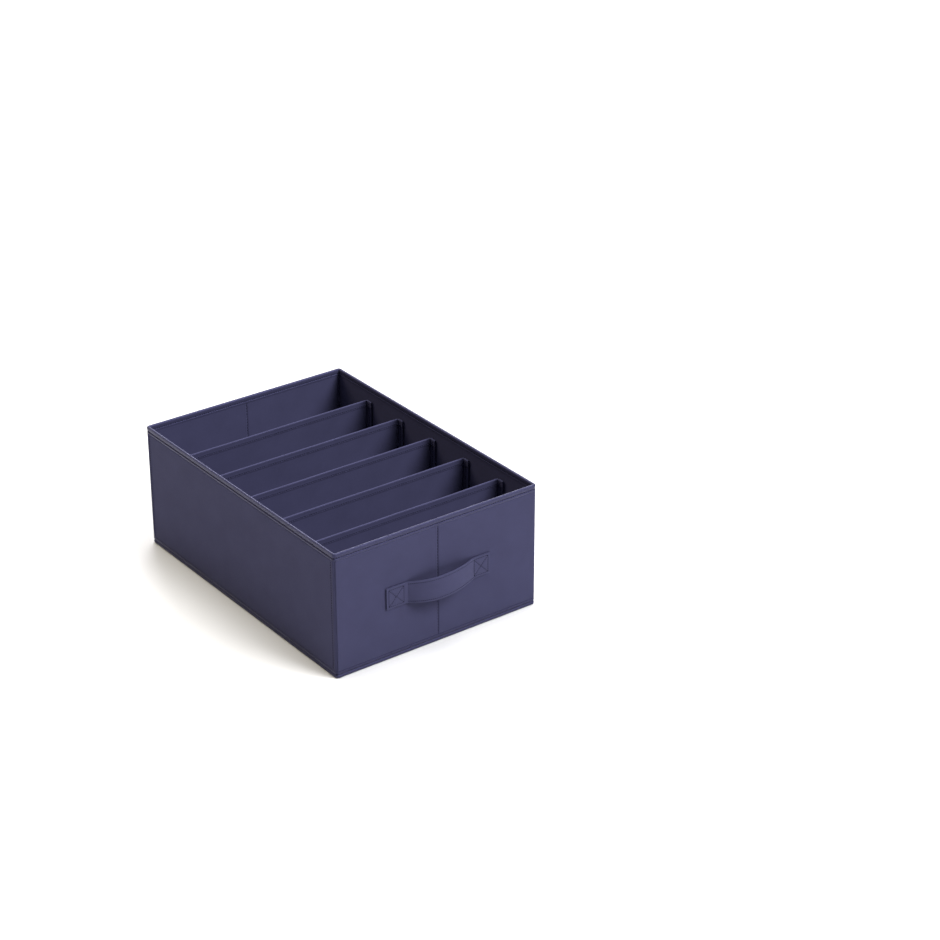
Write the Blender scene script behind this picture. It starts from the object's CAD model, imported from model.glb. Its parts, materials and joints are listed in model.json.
"""Looks of the collapsible fabric storage bin.

Cloth, bindings, stitching, handle, studio light and camera.
"""

import json
import math

import bpy
import numpy as np
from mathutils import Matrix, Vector, noise

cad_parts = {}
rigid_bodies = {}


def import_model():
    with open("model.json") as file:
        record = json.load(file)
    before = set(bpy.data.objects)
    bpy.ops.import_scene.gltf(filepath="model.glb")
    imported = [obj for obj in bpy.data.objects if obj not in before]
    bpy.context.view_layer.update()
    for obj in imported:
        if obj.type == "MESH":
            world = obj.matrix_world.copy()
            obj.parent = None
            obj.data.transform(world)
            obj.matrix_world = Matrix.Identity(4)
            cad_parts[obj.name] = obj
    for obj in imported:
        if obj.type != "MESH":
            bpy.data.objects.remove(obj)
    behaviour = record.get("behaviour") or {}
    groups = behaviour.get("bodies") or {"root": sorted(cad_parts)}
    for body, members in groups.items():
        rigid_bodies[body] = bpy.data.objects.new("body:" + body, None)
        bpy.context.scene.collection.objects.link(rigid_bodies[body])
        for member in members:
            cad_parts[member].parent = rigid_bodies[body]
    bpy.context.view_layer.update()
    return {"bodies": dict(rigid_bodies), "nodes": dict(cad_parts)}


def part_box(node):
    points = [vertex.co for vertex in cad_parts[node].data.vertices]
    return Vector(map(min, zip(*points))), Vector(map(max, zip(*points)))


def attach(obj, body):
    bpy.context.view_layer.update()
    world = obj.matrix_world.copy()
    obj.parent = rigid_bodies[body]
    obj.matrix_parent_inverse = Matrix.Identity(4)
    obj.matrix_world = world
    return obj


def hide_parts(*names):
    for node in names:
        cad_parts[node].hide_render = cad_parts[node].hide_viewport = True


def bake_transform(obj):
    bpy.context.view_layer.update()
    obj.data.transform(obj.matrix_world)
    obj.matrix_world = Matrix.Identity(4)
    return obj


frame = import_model()

MM = 0.001

# ---- sizes, taken from the frame ----

base_low, base_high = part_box("base_cloth")
SIDE_X, END_Y = base_high[0], base_high[1]
tape_low, tape_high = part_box("left_rim_tape")
RIM_Z = tape_high[2]
RIM_LOW = tape_low[2]
WALL_T = tape_high[0] - tape_low[0]
cloth_low, cloth_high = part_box("left_cloth")
TAPE_T = cloth_low[0] - tape_low[0]
hem_low, hem_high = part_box("left_hem_tape")
HEM_Z, HEM_TOP = hem_low[2], hem_high[2]
hook_low, hook_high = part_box("right_hook_tape")
loop_low, loop_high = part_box("base_loop_tape")
lining_low, lining_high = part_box("base_lining")
strap_low, strap_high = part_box("handle_strap")
stitch_low, stitch_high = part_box("handle_stitches_left")
divider_low, divider_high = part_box("divider_1_left")
DIVIDER_TOP = divider_high[2]
DIVIDER_FOOT = divider_low[2]
DIVIDER_COUNT = sum(name.endswith("_left_half") for name in frame["bodies"])
divider_y = [sum(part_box(f"divider_{k}_left")[i][1] for i in (0, 1)) / 2
             for k in range(1, DIVIDER_COUNT + 1)]

CLOTH_T = 0.8 * MM
CORNER_R = 5 * MM
CORNER_REACH = 12 * MM
SHARP = math.radians(50)

# ---- meshes ----


def smooth_step(t):
    t = np.clip(t, 0, 1)
    return t * t * (3 - 2 * t)


def mesh_object(name, points, faces, material, uv=None):
    """A smooth-shaded object from points (n, 3), faces and one uv pair for each point."""
    mesh = bpy.data.meshes.new(name)
    mesh.from_pydata([tuple(p) for p in points], [], faces)
    if uv is not None:
        layer = mesh.uv_layers.new(name="cloth")
        corner = np.empty(len(mesh.loops), int)
        mesh.loops.foreach_get("vertex_index", corner)
        layer.data.foreach_set("uv", np.asarray(uv, np.float32)[corner].ravel())
    mesh.shade_smooth()
    mesh.set_sharp_from_angle(angle=SHARP)
    mesh.materials.append(material)
    obj = bpy.data.objects.new(name, mesh)
    bpy.context.scene.collection.objects.link(obj)
    return obj


def grid_faces(rows, columns, close_rows=False, close_columns=True, first=0):
    faces = []
    for i in range(rows if close_rows else rows - 1):
        a = first + i * columns
        b = first + ((i + 1) % rows) * columns
        for j in range(columns if close_columns else columns - 1):
            k = (j + 1) % columns
            faces.append((a + j, b + j, b + k, a + k))
    return faces


def tube(name, rings, along, around, material, closed=False):
    """A closed solid from rings of points (rows, columns, 3).

    It is capped at both ends unless it closes on itself."""
    rows, columns = rings.shape[:2]
    faces = grid_faces(rows, columns, close_rows=closed)
    if not closed:
        faces.append(tuple(range(columns)))
        faces.append(tuple(range(rows * columns - 1, (rows - 1) * columns - 1, -1)))
    uv = np.stack(np.meshgrid(along, around, indexing="ij"), -1).reshape(-1, 2)
    points = rings.reshape(-1, 3)
    if signed_volume(points, faces) < 0:
        faces = [face[::-1] for face in faces]
    return mesh_object(name, points, faces, material, uv)


def signed_volume(points, faces):
    total = 0.0
    for face in faces:
        for i in range(1, len(face) - 1):
            total += np.dot(points[face[0]], np.cross(points[face[i]], points[face[i + 1]]))
    return total


def lengths(points):
    steps = np.linalg.norm(np.diff(points, axis=0), axis=1)
    return np.concatenate([[0], np.cumsum(steps)])


def sweep(name, path, profile, material, shape=None, closed=False):
    """Carries a closed profile of (outward, z) points along a path.

    The path is a list of (x, y, normal x, normal y) stations. shape(x, y, outward, z) returns a
    further outward move for every point."""
    path = np.asarray(path, float)
    profile = np.asarray(profile, float)
    x, y = path[:, None, 0], path[:, None, 1]
    out, z = np.broadcast_arrays(profile[None, :, 0], profile[None, :, 1])
    out = np.repeat(out, len(path), 0)
    z = np.repeat(z, len(path), 0)
    if shape:
        out = out + shape(np.broadcast_to(x, out.shape), np.broadcast_to(y, out.shape), out, z)
    rings = np.stack([x + path[:, None, 2] * out, y + path[:, None, 3] * out, z], -1)
    return tube(name, rings, lengths(path[:, :2]), lengths(profile), material, closed)


def ripple(size, height, seed):
    """A slow unevenness of the cloth, in metres, from its place."""
    def move(x, y, z):
        flat = np.empty(x.shape)
        for i, (a, b, c) in enumerate(zip(x.ravel(), y.ravel(), z.ravel())):
            flat.flat[i] = noise.noise(Vector((a / size + seed, b / size, c / size)))
        return flat * height
    return move


# ---- thread ----

THREAD_D = 0.8 * MM
STITCH_LEN = 3.1 * MM
STITCH_PITCH = 3.9 * MM
SIDES = 6
# A short step along a sewing line, in metres, that gives its direction
NUDGE = 1e-4
# Along one stitch: share of its length, its thickness there, and its lift, both in thread diameters
STITCH_SHAPE = [(0.0, 0.25, -0.6), (0.12, 0.8, -0.1), (0.5, 1.0, 0.15), (0.88, 0.8, -0.1),
                (1.0, 0.25, -0.6)]


def thread(name, rows, material, diameter=THREAD_D, pitch=STITCH_PITCH, stitch=STITCH_LEN):
    """Rows of sewn stitches.

    Each row is (points, normals): a line on the cloth and its outward normals."""
    points, faces = [], []
    angles = np.arange(SIDES) * 2 * math.pi / SIDES
    for line, normals in rows:
        line, normals = np.asarray(line, float), np.asarray(normals, float)
        run = lengths(line)
        count = max(1, int(run[-1] // pitch))
        step = run[-1] / count
        length = stitch * step / pitch
        for i in range(count):
            start = (i + 0.5) * step - length / 2
            rings = []
            for share, fat, lift in STITCH_SHAPE:
                at = start + share * length
                centre = np.array([np.interp(at, run, line[:, a]) for a in range(3)])
                up = np.array([np.interp(at, run, normals[:, a]) for a in range(3)])
                up /= np.linalg.norm(up)
                ahead = np.array([np.interp(at + NUDGE, run, line[:, a])
                                  - np.interp(at - NUDGE, run, line[:, a]) for a in range(3)])
                ahead /= np.linalg.norm(ahead)
                side = np.cross(ahead, up)
                centre = centre + up * lift * diameter
                rings.append(centre + diameter / 2 * fat * (np.outer(np.cos(angles), side) +
                                                            np.outer(np.sin(angles), up)))
            first = len(points)
            points.extend(np.concatenate(rings))
            ring_faces = grid_faces(len(STITCH_SHAPE), SIDES, first=first)
            faces.extend(face[::-1] for face in ring_faces)
            faces.append(tuple(first + j for j in range(SIDES)))
            last = first + (len(STITCH_SHAPE) - 1) * SIDES
            faces.append(tuple(last + j for j in reversed(range(SIDES))))
    points = np.array(points)
    return mesh_object(name, points, faces, material, points[:, :2] + points[:, 2:])


# ---- materials ----

# Distance across a folded rim binding, from its outer edge to the start of its inner face
INSIDE_FROM = 15 * MM
# Sockets of Blender's Mix node that belong to its colour mode
MIX_FACTOR, MIX_DARK, MIX_LIGHT, MIX_RESULT = 0, 6, 7, 2


def new_material(name):
    material = bpy.data.materials.new(name)
    material.use_nodes = True
    nodes = material.node_tree.nodes
    return material, nodes, material.node_tree.links, nodes["Principled BSDF"]


def mix_colour(nodes, links, factor, dark, light):
    mix = nodes.new("ShaderNodeMix")
    mix.data_type = "RGBA"
    mix.inputs[MIX_DARK].default_value = (*dark, 1)
    mix.inputs[MIX_LIGHT].default_value = (*light, 1)
    links.new(factor, mix.inputs[MIX_FACTOR])
    return mix.outputs[MIX_RESULT]


def scaled_noise(nodes, links, source, scale, detail=3.0, stretch=(1, 1, 1)):
    mapping = nodes.new("ShaderNodeMapping")
    mapping.inputs["Scale"].default_value = stretch
    links.new(source, mapping.inputs["Vector"])
    texture = nodes.new("ShaderNodeTexNoise")
    texture.inputs["Scale"].default_value = scale
    texture.inputs["Detail"].default_value = detail
    links.new(mapping.outputs["Vector"], texture.inputs["Vector"])
    return texture.outputs["Fac"]


def math_node(nodes, links, operation, a, b):
    node = nodes.new("ShaderNodeMath")
    node.operation = operation
    for socket, value in zip(node.inputs, (a, b)):
        if isinstance(value, (int, float)):
            socket.default_value = value
        else:
            links.new(value, socket)
    return node.outputs[0]


def bump(nodes, links, height, distance, strength, normal=None):
    node = nodes.new("ShaderNodeBump")
    node.inputs["Distance"].default_value = distance
    node.inputs["Strength"].default_value = strength
    links.new(height, node.inputs["Height"])
    if normal:
        links.new(normal, node.inputs["Normal"])
    return node.outputs["Normal"]


def nonwoven(name, colour, pitch=1.1 * MM, roughness=0.82, specular=0.1, sheen=0.08,
             tint=(0.7, 0.7, 1.0), inside_gain=1.0):
    """Spun-bonded cloth: matted fibres with a grid of small pressed dots.

    The inner face of a folded rim takes a lighter tone through inside_gain."""
    material, nodes, links, shader = new_material(name)
    uv = nodes.new("ShaderNodeUVMap")
    uv.uv_map = "cloth"
    place = uv.outputs["UV"]
    cloudy = scaled_noise(nodes, links, place, 28.0, 4.0)
    fibres = scaled_noise(nodes, links, place, 900.0, 3.0, (1.0, 0.28, 1.0))
    cross = scaled_noise(nodes, links, place, 1100.0, 2.0, (0.3, 1.0, 1.0))
    matted = math_node(nodes, links, "ADD", math_node(nodes, links, "MULTIPLY", fibres, 0.5),
                       math_node(nodes, links, "MULTIPLY", cross, 0.5))
    dots = nodes.new("ShaderNodeTexVoronoi")
    dots.inputs["Scale"].default_value = 1 / pitch
    dots.inputs["Randomness"].default_value = 0.12
    links.new(place, dots.inputs["Vector"])
    pressed = nodes.new("ShaderNodeMapRange")
    pressed.interpolation_type = "SMOOTHSTEP"
    pressed.inputs["From Min"].default_value = 0.2
    pressed.inputs["From Max"].default_value = 0.38
    links.new(dots.outputs["Distance"], pressed.inputs["Value"])
    raised = pressed.outputs["Result"]
    tone = math_node(nodes, links, "ADD", math_node(nodes, links, "MULTIPLY", cloudy, 0.55),
                     math_node(nodes, links, "MULTIPLY", matted, 0.3))
    tone = math_node(nodes, links, "ADD", tone, math_node(nodes, links, "MULTIPLY", raised, 0.15))
    dark = [c * 0.78 for c in colour]
    light = [c * 1.22 for c in colour]
    across = nodes.new("ShaderNodeSeparateXYZ")
    links.new(place, across.inputs["Vector"])
    gain = nodes.new("ShaderNodeMapRange")
    gain.inputs["From Min"].default_value = INSIDE_FROM - 0.5 * MM
    gain.inputs["From Max"].default_value = INSIDE_FROM + 0.5 * MM
    gain.inputs["To Min"].default_value = 1.0
    gain.inputs["To Max"].default_value = inside_gain
    links.new(across.outputs["Y"], gain.inputs["Value"])
    lit = nodes.new("ShaderNodeVectorMath")
    lit.operation = "SCALE"
    links.new(mix_colour(nodes, links, tone, dark, light), lit.inputs["Vector"])
    links.new(gain.outputs["Result"], lit.inputs["Scale"])
    links.new(lit.outputs["Vector"], shader.inputs["Base Color"])
    rough = math_node(nodes, links, "ADD", roughness - 0.1,
                      math_node(nodes, links, "MULTIPLY", raised, 0.12))
    links.new(rough, shader.inputs["Roughness"])
    height = math_node(nodes, links, "ADD", math_node(nodes, links, "MULTIPLY", raised, 0.6),
                       math_node(nodes, links, "MULTIPLY", matted, 0.8))
    links.new(bump(nodes, links, height, 0.12 * MM, 0.45), shader.inputs["Normal"])
    shader.inputs["Specular IOR Level"].default_value = specular
    shader.inputs["Specular Tint"].default_value = (*tint, 1)
    shader.inputs["Sheen Weight"].default_value = sheen
    shader.inputs["Sheen Roughness"].default_value = 0.55
    shader.inputs["Sheen Tint"].default_value = (0.5, 0.5, 0.9, 1)
    return material


def thread_material(name, colour):
    """Twisted polyester thread."""
    material, nodes, links, shader = new_material(name)
    uv = nodes.new("ShaderNodeUVMap")
    uv.uv_map = "cloth"
    twist = nodes.new("ShaderNodeTexWave")
    twist.bands_direction = "DIAGONAL"
    twist.inputs["Scale"].default_value = 900.0
    twist.inputs["Distortion"].default_value = 1.5
    links.new(uv.outputs["UV"], twist.inputs["Vector"])
    dark = [c * 0.7 for c in colour]
    light = [c * 1.3 for c in colour]
    links.new(mix_colour(nodes, links, twist.outputs["Fac"], dark, light),
              shader.inputs["Base Color"])
    links.new(bump(nodes, links, twist.outputs["Fac"], 0.06 * MM, 0.6), shader.inputs["Normal"])
    shader.inputs["Roughness"].default_value = 0.75
    shader.inputs["Specular IOR Level"].default_value = 0.08
    return material


def board_material(name, colour):
    """Grey board with fine flecks."""
    material, nodes, links, shader = new_material(name)
    place = nodes.new("ShaderNodeTexCoord").outputs["Object"]
    flecks = scaled_noise(nodes, links, place, 700.0, 4.0)
    clouds = scaled_noise(nodes, links, place, 20.0, 3.0)
    tone = math_node(nodes, links, "ADD", math_node(nodes, links, "MULTIPLY", flecks, 0.5),
                     math_node(nodes, links, "MULTIPLY", clouds, 0.5))
    dark = [c * 0.75 for c in colour]
    light = [c * 1.25 for c in colour]
    links.new(mix_colour(nodes, links, tone, dark, light), shader.inputs["Base Color"])
    links.new(bump(nodes, links, flecks, 0.05 * MM, 0.4), shader.inputs["Normal"])
    shader.inputs["Roughness"].default_value = 0.85
    return material


def pile_material(name, colour):
    """Hook or loop tape: a dense field of tiny bristles."""
    material, nodes, links, shader = new_material(name)
    uv = nodes.new("ShaderNodeUVMap")
    uv.uv_map = "cloth"
    tufts = nodes.new("ShaderNodeTexVoronoi")
    tufts.inputs["Scale"].default_value = 1400.0
    links.new(uv.outputs["UV"], tufts.inputs["Vector"])
    dark = [c * 0.5 for c in colour]
    light = [c * 1.5 for c in colour]
    links.new(mix_colour(nodes, links, tufts.outputs["Distance"], dark, light),
              shader.inputs["Base Color"])
    links.new(bump(nodes, links, tufts.outputs["Distance"], 0.3 * MM, 0.8),
              shader.inputs["Normal"])
    shader.inputs["Roughness"].default_value = 0.9
    return material


NAVY = (0.0395, 0.0395, 0.0815)
FINE_DOTS = 0.9 * MM


def navy(gain):
    return [c * gain for c in NAVY]


CLOTH = nonwoven("navy_nonwoven", NAVY)
LINING = nonwoven("navy_lining_cloth", navy(1.33))
DIVIDER_CLOTH = nonwoven("navy_divider_cloth", navy(1.2))
BINDING = nonwoven("navy_binding", navy(0.8), pitch=FINE_DOTS, roughness=0.43, specular=0.24,
                   sheen=0.06, tint=(0.45, 0.45, 1.0), inside_gain=1.6)
STRAP = nonwoven("navy_strap_cloth", navy(1.03), pitch=FINE_DOTS, roughness=0.75, specular=0.12)
THREAD = thread_material("navy_thread", (0.011, 0.011, 0.026))
BOARD = board_material("grey_board", (0.35, 0.33, 0.30))
PILE = pile_material("closure_pile", (0.03, 0.03, 0.058))

# ---- plan of the bin: stations round its outer face ----

# Stations along a half wall get closer towards the centre crease
CREASE_STATIONS = [m * MM for m in (0.3, 0.8, 1.3, 1.9, 2.6, 3.4, 4.2, 5.2, 6.5, 8, 11, 15, 20)]


def spread(start, end, spacing=9 * MM):
    return list(np.linspace(start, end, max(2, int(abs(end - start) / spacing) + 1)))


def creased(left, right):
    """Places along an end wall from left to right, dense at the crease at x = 0."""
    near = CREASE_STATIONS[-1]
    mirrored = [-m for m in reversed(CREASE_STATIONS)]
    return spread(left, -near)[:-1] + mirrored + CREASE_STATIONS + spread(near, right)[1:]


CORNER_STEPS = 9
CORNER_SIDE_SPACING = 1.6 * MM
CORNER_END_SPACING = 0.9 * MM


def corner_path(x_sign, y_sign, side_end, end_start):
    """From the side wall round a corner to the end wall.

    side_end and end_start are the reaches on each wall."""
    cx, cy = SIDE_X - CORNER_R, END_Y - CORNER_R
    path = [(SIDE_X, y, 1, 0) for y in spread(END_Y - side_end, cy, CORNER_SIDE_SPACING)]
    for step in range(1, CORNER_STEPS + 1):
        angle = step * math.pi / (2 * CORNER_STEPS)
        path.append((cx + CORNER_R * math.cos(angle), cy + CORNER_R * math.sin(angle),
                     math.cos(angle), math.sin(angle)))
    if end_start > CORNER_R:
        path += [(x, END_Y, 0, 1) for x in spread(cx, SIDE_X - end_start, CORNER_END_SPACING)[1:]]
    return [(x * x_sign, y * y_sign, nx * x_sign, ny * y_sign) for x, y, nx, ny in path]


# Clearance between the end faces of pieces that meet at an open pivot
BUTT_GAP = 0.05 * MM
# The folding linkage is open at the back right corner, so the right wall's cloth ends at the
# fold line there
PATHS = {
    "front": [(x, -END_Y, 0, -1) for x in creased(CORNER_REACH - SIDE_X, SIDE_X - CORNER_REACH)],
    "back": [(x, END_Y, 0, 1) for x in creased(CORNER_REACH - SIDE_X, SIDE_X - CORNER_R - BUTT_GAP)],
    "left": [(-SIDE_X, y, -1, 0) for y in spread(CORNER_REACH - END_Y, END_Y - CORNER_REACH)],
    "right": [(SIDE_X, y, 1, 0) for y in spread(CORNER_REACH - END_Y, END_Y - CORNER_REACH)],
    "front_left": corner_path(-1, -1, CORNER_REACH, CORNER_REACH),
    "front_right": corner_path(1, -1, CORNER_REACH, CORNER_REACH),
    "back_left": corner_path(-1, 1, CORNER_REACH, CORNER_REACH),
    "back_right": corner_path(1, 1, CORNER_REACH, CORNER_R),
}


def fasten(obj, part, slot, *nodes):
    """Rides or blends a piece of a wall or corner with its bodies, and names its CAD nodes."""
    if part == "front":
        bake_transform(obj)
    elif part == "back":
        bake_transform(obj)
    elif part == "front_left":
        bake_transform(obj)
    elif part == "front_right":
        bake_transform(obj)
    elif part == "back_left":
        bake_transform(obj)
    else:
        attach(obj, "left_wall" if part == "left" else "right_wall")
    if nodes:
        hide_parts(*nodes)
    return obj


def panels_of(part):
    """Names of the CAD wall panels that a wall of the visual model stands for."""
    return [part] if part in ("left", "right") else [f"{part}_left", f"{part}_right"]


# ---- wall cloth and lining ----

WALLS = ("front", "back", "left", "right")
CORNERS = ("front_left", "front_right", "back_left", "back_right")
CREASE_DEPTH = 1.3 * MM
CREASE_WIDTH = 1.0 * MM
SECOND_LINE = 5.0 * MM
# The bindings cover the edges of the wall sheets, which end just behind them
SHEET_LOW = HEM_TOP + 0.2 * MM
SHEET_HIGH = RIM_LOW + 1.0 * MM
LINING_OUT = TAPE_T + CLOTH_T - WALL_T
wall_ripple = ripple(75 * MM, 0.55 * MM, 3.1)
fine_ripple = ripple(19 * MM, 0.10 * MM, 9.7)


def held(x, y, z):
    """0 where a seam or binding holds the cloth and 1 out in the open cloth."""
    side = np.minimum(SIDE_X - abs(x), np.where(abs(abs(y) - END_Y) < 6 * MM, 1.0, END_Y - abs(y)))
    side = np.where(abs(abs(x) - SIDE_X) < 6 * MM, END_Y - abs(y), side)
    level = np.minimum(RIM_Z - z, z - HEM_Z)
    return smooth_step((side - 9 * MM) / (35 * MM)) * smooth_step((level - 9 * MM) / (30 * MM))


def crease(x, y):
    """Depth of the pressed line down the middle of an end wall, and of its fainter second fold."""
    end_wall = abs(abs(y) - END_Y) < 8 * MM
    deep = CREASE_DEPTH * np.exp(-(x / CREASE_WIDTH) ** 2)
    faint = 0.22 * MM * np.exp(-((x + SECOND_LINE) / (0.8 * MM)) ** 2)
    return np.where(end_wall, deep + faint, 0)


def outer_shape(x, y, out, z):
    under_rim = 0.5 * MM * np.exp(-((z - RIM_LOW + 0.3 * MM) / (0.9 * MM)) ** 2)
    soft = wall_ripple(x, y, z) + fine_ripple(x, y, z)
    return held(x, y, z) * (soft * 0.6 - 0.1 * MM) - crease(x, y) - under_rim


def inner_shape(x, y, out, z):
    return crease(x, y) * 0.8 - abs(wall_ripple(x, y, z)) * held(x, y, z) * 0.6


def sheet_profile(outer, thickness, low, high, rows=26):
    """A closed profile of a thin upright sheet, with many rows on both faces."""
    near_rim = [high - m * MM for m in (1.3, 1.7, 2.1, 2.6, 3.2)]
    levels = sorted([*np.linspace(low, high, rows), *near_rim])
    front = [(outer, z) for z in levels]
    back = [(outer - thickness, z) for z in reversed(levels)]
    return front + back


for part in WALLS:
    panels = panels_of(part)
    name = f"{part}_wall"
    cloth = sweep(f"{name}_cloth", PATHS[part],
                  sheet_profile(-TAPE_T, CLOTH_T, SHEET_LOW, SHEET_HIGH), CLOTH, outer_shape)
    fasten(cloth, part, "navy_cloth", *[f"{p}_cloth" for p in panels])
    lining = sweep(f"{name}_lining", PATHS[part],
                   sheet_profile(LINING_OUT, CLOTH_T, SHEET_LOW, SHEET_HIGH), LINING, inner_shape)
    fasten(lining, part, "navy_lining", *[f"{p}_lining" for p in panels])

for part in CORNERS:
    corner_lining = sweep(f"{part}_corner_lining", PATHS[part],
                          sheet_profile(LINING_OUT, CLOTH_T, SHEET_LOW, SHEET_HIGH, 8), LINING)
    fasten(corner_lining, part, "navy_lining")


def upright_roll(name, x, y, radius, low, high, material):
    """A rolled upright edge: a round bar between two heights."""
    angles = np.arange(12) * math.pi / 6
    levels = np.linspace(low, high, 12)
    rings = np.array([[(x + radius * math.cos(a), y + radius * math.sin(a), z) for a in angles]
                      for z in levels])
    return tube(name, rings, levels - low, angles * radius, material)


# The linkage is open at the back right corner: a piped edge on the right wall closes the fold
# line, and a tack on the back panel fills the end of the sewn groove of its rim
ROLL_R = 1.15 * MM
ROLL_DEPTH = 0.55 * MM
TACK_R = 0.6 * MM
roll = upright_roll("back_right_rolled_edge", SIDE_X - WALL_T, END_Y - ROLL_DEPTH, ROLL_R,
                    HEM_Z + 0.5 * MM, RIM_Z - 1.5 * MM, CLOTH)
fasten(roll, "back_right", "navy_cloth")
tack = upright_roll("back_right_rim_tack", SIDE_X - CORNER_R - BUTT_GAP - TACK_R,
                    END_Y - TACK_R - 0.1 * MM, TACK_R, RIM_LOW - 2.5 * MM, RIM_Z - 5 * MM, CLOTH)
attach(tack, "back_right_panel")

# ---- bindings ----


def arc(cx, cz, radius, start, end, steps):
    return [(cx + radius * math.cos(a), cz + radius * math.sin(a))
            for a in np.linspace(start, end, steps)]


RIM_LEG_T = 1.1 * MM
# The groove of the inner leg is shallower than that of the outer leg
INNER_LEG_SHARE = 0.6


def rim_profile():
    """Section through the folded rim: a round top, and two legs with a sewn groove each."""
    half = WALL_T / 2
    leg = [(0.95, 11.5), (0.7, 11.25), (0.42, 10.8), (0.16, 10.2), (0.02, 9.6), (0.0, 9.0),
           (0.12, 8.5), (0.5, 8.0), (0.95, 7.6), (1.04, 7.3), (0.98, 7.0), (0.72, 6.4),
           (0.4, 5.8), (0.14, 5.1), (0.04, 4.2), (0.02, 3.2)]
    outer = [(-a * MM, RIM_Z - b * MM) for a, b in leg]
    top = arc(-half, RIM_Z - half, half, 0, math.pi, 11)
    inner = [(-WALL_T + INNER_LEG_SHARE * a * MM, RIM_Z - b * MM) for a, b in reversed(leg)]
    under = [(-WALL_T + RIM_LEG_T, RIM_LOW), (-WALL_T + RIM_LEG_T, RIM_Z - 3 * MM),
             (-RIM_LEG_T, RIM_Z - 3 * MM), (-RIM_LEG_T, RIM_LOW)]
    return outer + top + inner + under


def hem_profile():
    """Section through the binding along the bottom edge of a wall."""
    height = HEM_TOP - HEM_Z
    outer = [(-1.5 * MM, HEM_Z), (-0.85 * MM, HEM_Z + 0.05 * MM), (-0.3 * MM, HEM_Z + 0.45 * MM),
             (0.02 * MM, HEM_Z + 1.1 * MM), (0.1 * MM, HEM_Z + 1.9 * MM),
             (0.02 * MM, HEM_Z + 2.7 * MM), (-0.25 * MM, HEM_Z + 3.5 * MM),
             (-0.6 * MM, HEM_Z + 4.1 * MM), (-0.85 * MM, HEM_Z + height),
             (-1.05 * MM, HEM_Z + height + 0.4 * MM)]
    inner = [(-WALL_T - a, z) for a, z in reversed(outer)]
    return outer + [(-0.9 * MM, HEM_Z + 1.5 * MM), (-WALL_T + 0.9 * MM, HEM_Z + 1.5 * MM)] + inner


rim_ripple = ripple(24 * MM, 0.14 * MM, 5.5)


def binding_shape(x, y, out, z):
    """Small puckers between the stitches, and the crease where an end wall folds."""
    outside = np.where(out > -WALL_T / 2, 1.0, -1.0)
    clear = smooth_step((np.maximum(abs(abs(x) - SIDE_X), abs(abs(y) - END_Y)) - 14 * MM) / (12 * MM))
    return (rim_ripple(x, y, z) * clear - 0.12 * crease(x, y)) * outside


THREAD_SINK = 0.72 * MM
RIM_STITCH_Z = RIM_Z - 7.3 * MM
HEM_STITCH_Z = HEM_TOP - 0.2 * MM
HEM_STITCH_DEPTH = 0.62 * MM


def stitch_line(path, out, z):
    """A sewing line at a height z, and its normals, which face away from the wall.

    out is its distance outward from the outer face."""
    path = np.asarray(path, float)
    side = 1.0 if out > -WALL_T / 2 else -1.0
    line = np.stack([path[:, 0] + path[:, 2] * out, path[:, 1] + path[:, 3] * out,
                     np.full(len(path), z)], -1)
    normals = np.stack([path[:, 2] * side, path[:, 3] * side, np.zeros(len(path))], -1)
    return line, normals


for part in WALLS + CORNERS:
    panels = panels_of(part) if part in WALLS else []
    rim = sweep(f"rim_binding_{part}", PATHS[part], rim_profile(), BINDING, binding_shape)
    fasten(rim, part, "navy_tape", *[f"{p}_rim_tape" for p in panels])
    hem = sweep(f"hem_binding_{part}", PATHS[part], hem_profile(), BINDING, binding_shape)
    fasten(hem, part, "navy_tape", *[f"{p}_hem_tape" for p in panels])
    rows = [stitch_line(PATHS[part], -THREAD_SINK, RIM_STITCH_Z),
            stitch_line(PATHS[part], 0.5 * THREAD_SINK - WALL_T, RIM_STITCH_Z),
            stitch_line(PATHS[part], -HEM_STITCH_DEPTH, HEM_STITCH_Z)]
    fasten(thread(f"rim_and_hem_thread_{part}", rows, THREAD), part, "thread")

# ---- corner bindings ----


# Distance of a corner binding's sewn line from the end wall's face
CORNER_STITCH_RUN = 8.4 * MM
# The seam on the round of a corner, from the end wall's face and from the side wall's
SEAM_RUN, SEAM_ACROSS = 1.3 * MM, 1.64 * MM
# Depths in millimetres: the flush part on the walls, the sewn line, the seam
FLUSH_DEPTH, SEWN_DEPTH, SEAM_DEPTH = 0.36, 0.62, 1.05


def corner_binding_profile():
    levels = np.linspace(HEM_TOP + 0.1 * MM, RIM_LOW + 0.5 * MM, 30)
    return [(-0.04 * MM, z) for z in levels] + [(-TAPE_T - 0.9 * MM, z) for z in reversed(levels)]


def corner_groove(x, y, out, z):
    """A corner binding's relief.

    It is proud on the side wall, with a sewn line near its edge, has a seam on the round of the
    corner, and is flush with the cloth on the end wall."""
    run = END_Y - abs(y)
    across = SIDE_X - abs(x)
    on_side = smooth_step((run - 10.0 * MM) / (1.0 * MM)) * (across < 1 * MM)
    on_end = smooth_step((across - 2.2 * MM) / (3.5 * MM)) * (run < 1 * MM)
    sewn = np.exp(-((run - CORNER_STITCH_RUN) / (0.8 * MM)) ** 2) * (across < 1 * MM)
    seam = np.exp(-((np.hypot(run - SEAM_RUN, across - SEAM_ACROSS)) / (0.9 * MM)) ** 2)
    return -(FLUSH_DEPTH * np.maximum(on_side, on_end) + SEWN_DEPTH * sewn + SEAM_DEPTH * seam) * MM


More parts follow.
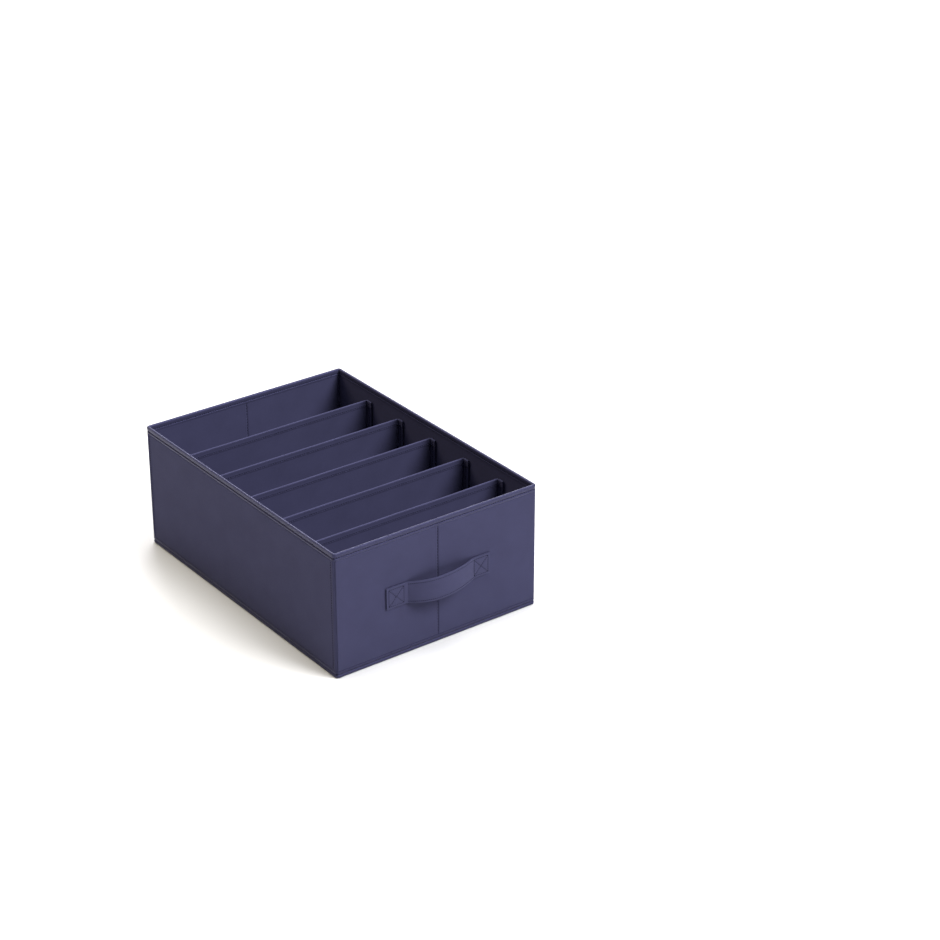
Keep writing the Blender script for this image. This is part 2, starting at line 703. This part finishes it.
for part in CORNERS:
    strip = sweep(f"corner_binding_{part}", PATHS[part], corner_binding_profile(), CLOTH,
                  corner_groove)
    fasten(strip, part, "navy_tape", f"corner_tape_{part}")
    x_sign = 1 if part.endswith("right") else -1
    y_sign = 1 if part.startswith("back") else -1
    levels = np.linspace(HEM_TOP + 2 * MM, RIM_LOW - 2 * MM, 12)
    seam = [((SIDE_X - 0.35 * MM) * x_sign, (END_Y - CORNER_STITCH_RUN) * y_sign, z) for z in levels]
    corner_thread = thread(f"corner_thread_{part}", [(seam, [(x_sign, 0, 0)] * len(seam))], THREAD)
    fasten(corner_thread, part, "thread")

# ---- crease stitching on the end walls ----

for part, y_sign in (("front", -1), ("back", 1)):
    levels = np.linspace(HEM_TOP + 3 * MM, RIM_LOW - 2 * MM, 14)
    outside = [(0, y_sign * (END_Y - TAPE_T - CREASE_DEPTH + 0.25 * MM), z) for z in levels]
    inside = [(0, y_sign * (END_Y - WALL_T + TAPE_T + CREASE_DEPTH * 0.8 - 0.25 * MM), z) for z in levels]
    rows = [(outside, [(0, y_sign, 0)] * len(levels)), (inside, [(0, -y_sign, 0)] * len(levels))]
    fasten(thread(f"{part}_crease_thread", rows, THREAD, pitch=4.6 * MM), part, "thread")

# ---- closure tapes between the walls and the base ----


PILE_OVERLAP = 0.4 * MM
LOOP_SPACING = 20 * MM


def strip_profile(low, high, inset=1.3 * MM):
    bevel = (high - low) * 0.3
    outer, inner = -TAPE_T - inset, inset - WALL_T + TAPE_T
    return [(outer - bevel, low), (outer, low + bevel), (outer, high - bevel), (outer - bevel, high),
            (inner + bevel, high), (inner, high - bevel), (inner, low + bevel), (inner + bevel, low)]


for part in ("front", "right", "back"):
    hook = sweep(f"hook_strip_{part}", PATHS[part],
                 strip_profile(hook_low[2], hook_high[2] + PILE_OVERLAP), PILE)
    fasten(hook, part, "closure_tape", *[f"{p}_hook_tape" for p in panels_of(part)])

loop_path = ([(x, END_Y, 0, 1) for x in spread(WALL_T - SIDE_X, SIDE_X - CORNER_R, LOOP_SPACING)]
             + corner_path(1, 1, CORNER_REACH, CORNER_R)[::-1][1:]
             + [(SIDE_X, y, 1, 0)
                for y in spread(END_Y - CORNER_REACH, CORNER_REACH - END_Y, LOOP_SPACING)[1:]]
             + corner_path(1, -1, CORNER_REACH, CORNER_R)[1:]
             + [(x, -END_Y, 0, -1)
                for x in spread(SIDE_X - CORNER_R, WALL_T - SIDE_X, LOOP_SPACING)[1:]])
loop = sweep("loop_strip", loop_path, strip_profile(loop_low[2] - PILE_OVERLAP, loop_high[2]), PILE)
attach(loop, "base")
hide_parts("base_loop_tape")

# ---- base ----


def rounded_sheet(name, half_x, half_y, low, high, radius, material, wave, step=11 * MM):
    """A closed sheet with rounded corners. wave moves both faces up and down."""
    def places(half):
        rounded = [s * (half - radius * f) for s in (-1, 1) for f in (0.35, 0.7, 1)]
        return np.array(sorted(set(spread(-half, half, step) + rounded)))

    x, y = np.meshgrid(places(half_x), places(half_y), indexing="ij")
    over_x = np.maximum(abs(x) - (half_x - radius), 0)
    over_y = np.maximum(abs(y) - (half_y - radius), 0)
    far = np.maximum(np.hypot(over_x, over_y), 1e-9)
    reach = np.maximum(over_x, over_y) / far
    x = x - np.sign(x) * over_x * (1 - reach)
    y = y - np.sign(y) * over_y * (1 - reach)
    rise = wave(x, y, np.zeros_like(x))
    top = np.stack([x, y, high + rise], -1).reshape(-1, 3)
    bottom = np.stack([x, y, low + rise], -1).reshape(-1, 3)
    rows, columns = x.shape
    faces = grid_faces(rows, columns, close_columns=False)
    count = rows * columns
    faces += [tuple(count + i for i in face[::-1]) for face in faces]
    edge = ([i * columns for i in range(rows)] + [(rows - 1) * columns + j for j in range(1, columns)]
            + [i * columns + columns - 1 for i in range(rows - 2, -1, -1)]
            + list(range(columns - 2, 0, -1)))
    for a, b in zip(edge, edge[1:] + edge[:1]):
        faces.append((a, b, b + count, a + count)[::-1])
    points = np.concatenate([top, bottom])
    if signed_volume(points, faces) < 0:
        faces = [face[::-1] for face in faces]
    return mesh_object(name, points, faces, material, points[:, :2])


def bead_profile():
    """Section through the bound edge of the base."""
    outer = [(-2.2, 0.0), (-1.5, 0.12), (-0.85, 0.5), (-0.35, 1.15), (-0.05, 2.0), (0.05, 2.9),
             (-0.02, 3.7), (-0.25, 4.45), (-0.7, 5.1), (-1.3, 5.45), (-1.9, 5.55)]
    inside = -WALL_T / MM
    inner = [(inside + 0.3, 5.5), (inside, 5.2), (inside - 0.1, 4.4), (inside - 0.1, 1.0),
             (inside, 0.0)]
    return [(a * MM, b * MM) for a, b in outer + inner]


LONG_GAP = 30 * MM
BEAD_SPACING = 12 * MM
base_path = []
for x_sign, y_sign in ((1, -1), (1, 1), (-1, 1), (-1, -1)):
    corner = corner_path(x_sign, y_sign, CORNER_REACH, CORNER_REACH)
    base_path += corner if x_sign * y_sign > 0 else corner[::-1]
straight = []
for here, after in zip(base_path, base_path[1:] + base_path[:1]):
    straight.append(here)
    gap = math.hypot(after[0] - here[0], after[1] - here[1])
    if gap > LONG_GAP:
        for share in np.linspace(0, 1, int(gap / BEAD_SPACING))[1:-1]:
            straight.append((here[0] + share * (after[0] - here[0]),
                             here[1] + share * (after[1] - here[1]), here[2], here[3]))
bead = sweep("base_bead", straight, bead_profile(), BINDING, closed=True)
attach(bead, "base")
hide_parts("base_piping")

UNDER_INSET = 1.5 * MM
UNDER_CORNER_R = 4 * MM
under = rounded_sheet("base_under_cloth", SIDE_X - UNDER_INSET, END_Y - UNDER_INSET,
                      0.1 * MM, 1.0 * MM, UNDER_CORNER_R, CLOTH,
                      lambda x, y, z: abs(wall_ripple(x, y, z)) * 0.3)
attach(under, "base")
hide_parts("base_cloth")


def floor_wave(x, y, z):
    edge = np.minimum(SIDE_X - WALL_T - abs(x), END_Y - WALL_T - abs(y))
    return (wall_ripple(x, y, z) * 0.5 - 0.2 * MM) * smooth_step(edge / (25 * MM))


FLOOR_GAP = 0.1 * MM
floor_lining = rounded_sheet("base_top_lining", SIDE_X - WALL_T - FLOOR_GAP,
                             END_Y - WALL_T - FLOOR_GAP, lining_low[2] + 0.3 * MM,
                             lining_high[2], 1 * MM, LINING, floor_wave)
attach(floor_lining, "base")
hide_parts("base_lining")

HINGE_OUTER, HINGE_INNER = 0.9 * MM, 1.7 * MM
hinge_low, hinge_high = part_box("base_hinge_tape")
hinge_path = [(-SIDE_X, y, -1, 0) for y in spread(hinge_low[1], hinge_high[1], 20 * MM)]
hinge_profile = [(-HINGE_OUTER, z)
                 for z in np.linspace(hinge_low[2] - 0.6 * MM, HEM_Z + 0.5 * MM, 9)]
hinge_profile += [(-HINGE_INNER, z) for _, z in reversed(hinge_profile)]
hinge = sweep("base_hinge_cloth", hinge_path, hinge_profile, CLOTH)
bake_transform(hinge)
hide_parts("base_hinge_tape")

# ---- dividers ----

SHEET_T = 1.7 * MM
HEM_T = 3.0 * MM
DIVIDER_HEM = 10 * MM
TAB_OUT = HEM_T / 2 + 0.15 * MM
TAB_LEN = 10.5 * MM
BEND_R = 1.7 * MM
BLEND_TAB = 8 * MM
# The sewn groove of the hem: its distance below the top edge, its depth, and the lift of its thread
GROOVE_DOWN = 8.3 * MM
GROOVE_DEPTH = 0.42 * MM
THREAD_LIFT = 0.16 * MM


def divider_profile():
    """Section through a divider: thin cloth with a rolled hem and a sewn groove under the roll."""
    def half_thickness(depth):
        roll = HEM_T / 2 - 0.18 * MM * math.exp(-((depth - 5.5 * MM) / (2 * MM)) ** 2)
        groove = GROOVE_DEPTH * math.exp(-((depth - GROOVE_DOWN) / (0.55 * MM)) ** 2)
        edge = smooth_step((depth - DIVIDER_HEM + 0.35 * MM) / (0.7 * MM))
        return (roll - groove) * (1 - edge) + SHEET_T / 2 * edge
    depths = [d * MM for d in (1.6, 2.4, 3.4, 4.6, 5.8, 6.8, 7.5, 7.9, 8.3, 8.7, 9.2, 9.6, 10.0,
                               10.4, 12, 16)]
    depths += list(np.linspace(22 * MM, DIVIDER_TOP - DIVIDER_FOOT, 22))
    side = [(float(half_thickness(d)), DIVIDER_TOP - d) for d in depths]
    radius = side[0][0]
    top = arc(0, DIVIDER_TOP - radius, radius, 0, math.pi, 9)
    return [p for p in reversed(side)] + top + [(-a, z) for a, z in side]


def divider_path(y):
    """Plan of one divider as left tab, middle and right tab. The tabs point to the front."""
    tab_x = SIDE_X - WALL_T - TAB_OUT
    tab = [(tab_x, y - BEND_R - run, 1, 0) for run in spread(TAB_LEN, 0, 1.5 * MM)]
    bend = []
    for step in range(1, 7):
        angle = step * math.pi / 12
        bend.append((tab_x - BEND_R + BEND_R * math.cos(angle),
                     y - BEND_R + BEND_R * math.sin(angle), math.cos(angle), math.sin(angle)))
    right = tab + bend
    left = [(-x, py, -nx, ny) for x, py, nx, ny in right]
    near = [(x, y, 0, 1) for x in spread(BEND_R - tab_x, BLEND_TAB - tab_x, 0.8 * MM)[1:]]
    middle = [(x, y, 0, 1) for x in creased(BLEND_TAB - tab_x, tab_x - BEND_R - BUTT_GAP)]
    return left + near, middle, right


for k, y in enumerate(divider_y, 1):
    sway = ripple(95 * MM, 1.5 * MM, 20.0 + 3.7 * k)
    small = ripple(23 * MM, 0.16 * MM, 40.0 + 2.3 * k)

    def divider_shape(x, py, out, z):
        """Cloth that hangs a little uneven between its sewn ends."""
        free = smooth_step((SIDE_X - WALL_T - abs(x) - 10 * MM) / (60 * MM))
        low = 0.35 + 0.65 * smooth_step((DIVIDER_TOP - z - 8 * MM) / (60 * MM))
        return (sway(x, py * 0, z) * low + small(x, py * 0, z)) * free

    left_path, middle_path, right_path = divider_path(y)
    sheet = sweep(f"divider_{k}_sheet", middle_path, divider_profile(), DIVIDER_CLOTH, divider_shape)
    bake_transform(sheet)
    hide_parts(f"divider_{k}_left", f"divider_{k}_right")
    tab_left = sweep(f"divider_{k}_tab_left", left_path, divider_profile(), DIVIDER_CLOTH)
    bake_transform(tab_left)
    tab_right = sweep(f"divider_{k}_tab_right", right_path, divider_profile(), DIVIDER_CLOTH)
    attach(tab_right, "right_wall")
    if k == 1:
        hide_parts("divider_tabs_left")
        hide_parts("divider_tabs_right")
    groove_z = DIVIDER_TOP - GROOVE_DOWN
    half = HEM_T / 2 - GROOVE_DEPTH + THREAD_LIFT
    run = np.array([p[0] for p in middle_path])
    rows = []
    for side in (-1, 1):
        column = (len(run), 1)
        out = np.full(column, side * half)
        at = out + divider_shape(run[:, None], np.full(column, y), out, np.full(column, groove_z))
        line = np.stack([run, y + at[:, 0], np.full(len(run), groove_z)], -1)
        rows.append((line, np.tile([0.0, side, 0.0], (len(run), 1))))
    hem_thread = thread(f"divider_{k}_hem_thread", rows, THREAD)
    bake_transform(hem_thread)
    levels = np.linspace(DIVIDER_FOOT + 8 * MM, DIVIDER_TOP - 3 * MM, 12)
    hem_edge = [DIVIDER_TOP - 10.2 * MM, DIVIDER_TOP - 9.8 * MM]
    tab_half = [SHEET_T / 2, HEM_T / 2]
    for x_sign, body in ((-1, "left_wall"), (1, "right_wall")):
        face = [(x_sign * (SIDE_X - WALL_T - TAB_OUT - np.interp(z, hem_edge, tab_half) - 0.1 * MM),
                 y - BEND_R - 5 * MM, z) for z in levels]
        tab_thread = thread(f"divider_{k}_tab_thread_{'left' if x_sign < 0 else 'right'}",
                            [(face, [(-x_sign, 0, 0)] * len(face))], THREAD)
        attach(tab_thread, body)

# ---- handle ----

STRAP_T = 2.4 * MM
STRAP_W = strap_high[2] - strap_low[2]
STRAP_Z = (strap_high[2] + strap_low[2]) / 2
STRAP_HALF = strap_high[0]
ARCH_RISE = -END_Y - strap_low[1] - STRAP_T
PEAK_X = -7 * MM
ARCH_LEFT, ARCH_RIGHT = -54 * MM, 60 * MM
LEAN = 4.5 * MM
ARCH_ROUND = 1.6 * MM
# The sewn lines along the strap's edges, and the finer stitches of the handle
STRAP_EDGE_INSET = 3.2 * MM
FINE_PITCH, FINE_STITCH = 2.9 * MM, 2.3 * MM
BOX_SAMPLES, EDGE_SAMPLES = 16, 76
# The dense stations of the strap reach this far past each end of its arch
BEND_REACH = 5.4 * MM
BOX_W = stitch_high[0] - stitch_low[0]
BOX_H = stitch_high[2] - stitch_low[2]
BOX_X = -(stitch_high[0] + stitch_low[0]) / 2


def arch(x):
    """Stand-off of the strap between its sewn ends, a bow that leaves the wall abruptly."""
    reach = PEAK_X - ARCH_LEFT if x < PEAK_X else ARCH_RIGHT - PEAK_X
    bow = ARCH_RISE * (1 - ((x - PEAK_X) / reach) ** 2)
    return (bow + math.hypot(bow, ARCH_ROUND)) / 2 - ARCH_ROUND ** 2 / (4 * ARCH_RISE)


strap_x = np.concatenate([np.linspace(-STRAP_HALF, ARCH_LEFT - 6 * MM, 40),
                          np.linspace(ARCH_LEFT - BEND_REACH, ARCH_RIGHT + BEND_REACH, 120),
                          np.linspace(ARCH_RIGHT + 6 * MM, STRAP_HALF, 32)])
STRAP_Y = TAPE_T - END_Y - STRAP_T / 2
strap_mid = np.array([(x, STRAP_Y - arch(x)) for x in strap_x])
slope = np.gradient(strap_mid, axis=0)
slope /= np.linalg.norm(slope, axis=1)[:, None]
strap_path = np.column_stack([strap_mid, slope[:, 1], -slope[:, 0]])


def strap_profile():
    """Section through the strap: rounded edges and a sewn groove near each edge, on both faces."""
    half_w, half_t = STRAP_W / 2, STRAP_T / 2
    heights = list(np.linspace(-half_w + half_t, half_w - half_t, 30))
    front = [(half_t, z) for z in heights]
    top = arc(0, half_w - half_t, half_t, 0, math.pi, 7)[1:-1]
    back = [(-half_t, z) for z in reversed(heights)]
    low = [(a, -b) for a, b in reversed(top)]
    return [(a, STRAP_Z + b) for a, b in front + top + back + low]


def sewn_depth(across, up):
    """How far the stitched box and its diagonals pull the strap in, from the box's centre."""
    u, v = abs(across) / (BOX_W / 2), abs(up) / (BOX_H / 2)
    near_side = abs(abs(across) - BOX_W / 2) + np.where(v > 1.06, 1, 0)
    near_end = abs(abs(up) - BOX_H / 2) + np.where(u > 1.06, 1, 0)
    near_diagonal = abs(u - v) * BOX_W / 2.9 + np.where(np.maximum(u, v) > 1, 1, 0)
    nearest = np.minimum(np.minimum(near_side, near_end), near_diagonal)
    return 0.42 * MM * np.exp(-(nearest / (0.95 * MM)) ** 2)


def strap_shape(x, y, out, z):
    """Sewn grooves along both edges of the arch, the boxes on both ends, and the strap's lean."""
    up = z - STRAP_Z
    edge_run = abs(abs(up) - (STRAP_W / 2 - STRAP_EDGE_INSET))
    arch_part = smooth_step(np.minimum(x - ARCH_LEFT, ARCH_RIGHT - x) / (2 * MM))
    along_edge = 0.3 * MM * np.exp(-(edge_run / (0.7 * MM)) ** 2) * arch_part
    boxes = sewn_depth(abs(x) - BOX_X, up) * (out > 0)
    near_end = np.minimum(abs(x - ARCH_LEFT), abs(x - ARCH_RIGHT))
    start = 0.35 * MM * np.exp(-(near_end / (0.8 * MM)) ** 2) * (out > 0)
    soft = 0.12 * MM * np.sin(up / STRAP_W * math.pi * 3 + x * 90) * arch_part
    share = np.vectorize(arch)(np.asarray(x, float)) / ARCH_RISE
    lean = LEAN * share * (0.5 - up / STRAP_W)
    return -(along_edge + boxes + start) * np.sign(out) + soft + lean


strap = sweep("handle_strap_cloth", strap_path, strap_profile(), STRAP, strap_shape)
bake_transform(strap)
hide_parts("handle_strap")


def strap_point(x, up, lift=0.0):
    """A point on the outer face of the strap and its normal."""
    i = int(np.argmin(abs(strap_x - x)))
    relief = strap_shape(np.array(strap_x[i]), 0, np.array(STRAP_T / 2), np.array(STRAP_Z + up))
    face = STRAP_T / 2 + lift + float(relief)
    x0, y0, nx, ny = strap_path[i]
    return (x0 + nx * face, y0 + ny * face, STRAP_Z + up), (nx, ny, 0)


def strap_row(ends, count):
    (x0, up0), (x1, up1) = ends
    places = [strap_point(x0 + (x1 - x0) * t, up0 + (up1 - up0) * t, 0.1 * MM)
              for t in np.linspace(0, 1, count)]
    return [p for p, _ in places], [n for _, n in places]


for side, body in ((-1, "front_left_panel"), (1, "front_right_panel")):
    x0, x1 = side * BOX_X - BOX_W / 2, side * BOX_X + BOX_W / 2
    low, high = -BOX_H / 2, BOX_H / 2
    box_rows = [((x0, low), (x1, low)), ((x1, low), (x1, high)), ((x1, high), (x0, high)),
                ((x0, high), (x0, low)), ((x0, low), (x1, high)), ((x0, high), (x1, low))]
    box_thread = thread(f"handle_box_thread_{'left' if side < 0 else 'right'}",
                        [strap_row(ends, BOX_SAMPLES) for ends in box_rows], THREAD,
                        pitch=FINE_PITCH, stitch=FINE_STITCH)
    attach(box_thread, body)
    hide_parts(f"handle_stitches_{'left' if side < 0 else 'right'}")

edge_rows = [strap_row(((ARCH_LEFT, up), (ARCH_RIGHT, up)), EDGE_SAMPLES)
             for up in (STRAP_W / 2 - STRAP_EDGE_INSET, STRAP_EDGE_INSET - STRAP_W / 2)]
edge_thread = thread("handle_edge_thread", edge_rows, THREAD, pitch=FINE_PITCH, stitch=FINE_STITCH)
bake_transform(edge_thread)

# ---- boards keep the frame's shape and take the grey board material ----

for node_name, node_object in frame["nodes"].items():
    if node_name.endswith("_board"):
        node_object.data.materials.clear()
        node_object.data.materials.append(BOARD)

# ---- stage, light and camera ----

# Name, place, target, size, power and colour of each area light
LIGHTS = (
    ("top", (0.4, 0.4, 6.4), (0, 0, 0), (4.0, 4.0), 340, (1.0, 1.0, 1.0)),
    ("key", (2.6, -4.8, 5.6), (0, 0, 0.1), (3.6, 3.6), 760, (0.985, 0.985, 1.0)),
    ("back", (-3.2, 4.4, 5.2), (0, 0, 0.1), (4.0, 4.0), 230, (1.0, 0.89, 0.68)),
    ("rim", (3.2, 4.3, 3.4), (0, 0, 0.1), (3.6, 2.4), 320, (0.93, 0.93, 1.0)),
)
CAMERA_AT = (-1.8063, -2.7329, 1.8325)
CAMERA_AZIMUTH, CAMERA_ELEVATION = -36.868, 26.932
SENSOR_MM = 36.0
LENS_MM = 95.93617


def floor_stage():
    size = 30.0
    points = np.array([(-size, -size, 0), (size, -size, 0), (size, size, 0), (-size, size, 0)])
    material, nodes, links, shader = new_material("pale_floor")
    shader.inputs["Base Color"].default_value = (0.79, 0.79, 0.79, 1)
    shader.inputs["Roughness"].default_value = 0.9
    shader.inputs["Specular IOR Level"].default_value = 0.1
    floor = mesh_object("floor", points - [0, 0, 0.2 * MM], [(0, 1, 2, 3)], material)


def area_light(name, place, target, size, power, colour):
    light = bpy.data.lights.new(name, "AREA")
    light.shape = "RECTANGLE"
    light.size, light.size_y = size
    light.energy = power
    light.color = colour
    obj = bpy.data.objects.new(name, light)
    obj.location = place
    obj.rotation_euler = (Vector(target) - Vector(place)).to_track_quat("-Z", "Y").to_euler()
    bpy.context.scene.collection.objects.link(obj)


def studio():
    world = bpy.data.worlds.new("studio")
    bpy.context.scene.world = world
    world.use_nodes = True
    backdrop = world.node_tree.nodes["Background"]
    backdrop.inputs["Color"].default_value = (1.0, 0.97, 0.9, 1)
    backdrop.inputs["Strength"].default_value = 0.03
    for light in LIGHTS:
        area_light(*light)
    settings = bpy.context.scene.view_settings
    settings.view_transform = "Standard"
    settings.look = "None"
    settings.exposure = 0.0
    settings.gamma = 1.0


def photo_camera():
    """Long lens, a little above the bin, in front and to its left."""
    azimuth, elevation = math.radians(CAMERA_AZIMUTH), math.radians(CAMERA_ELEVATION)
    camera = bpy.data.cameras.new("camera")
    camera.sensor_width = SENSOR_MM
    camera.lens = LENS_MM
    obj = bpy.data.objects.new("camera", camera)
    obj.location = CAMERA_AT
    ahead = Vector((-math.sin(azimuth) * math.cos(elevation),
                    math.cos(azimuth) * math.cos(elevation), -math.sin(elevation)))
    obj.rotation_euler = ahead.to_track_quat("-Z", "Y").to_euler()
    bpy.context.scene.collection.objects.link(obj)
    bpy.context.scene.camera = obj


floor_stage()
studio()
photo_camera()
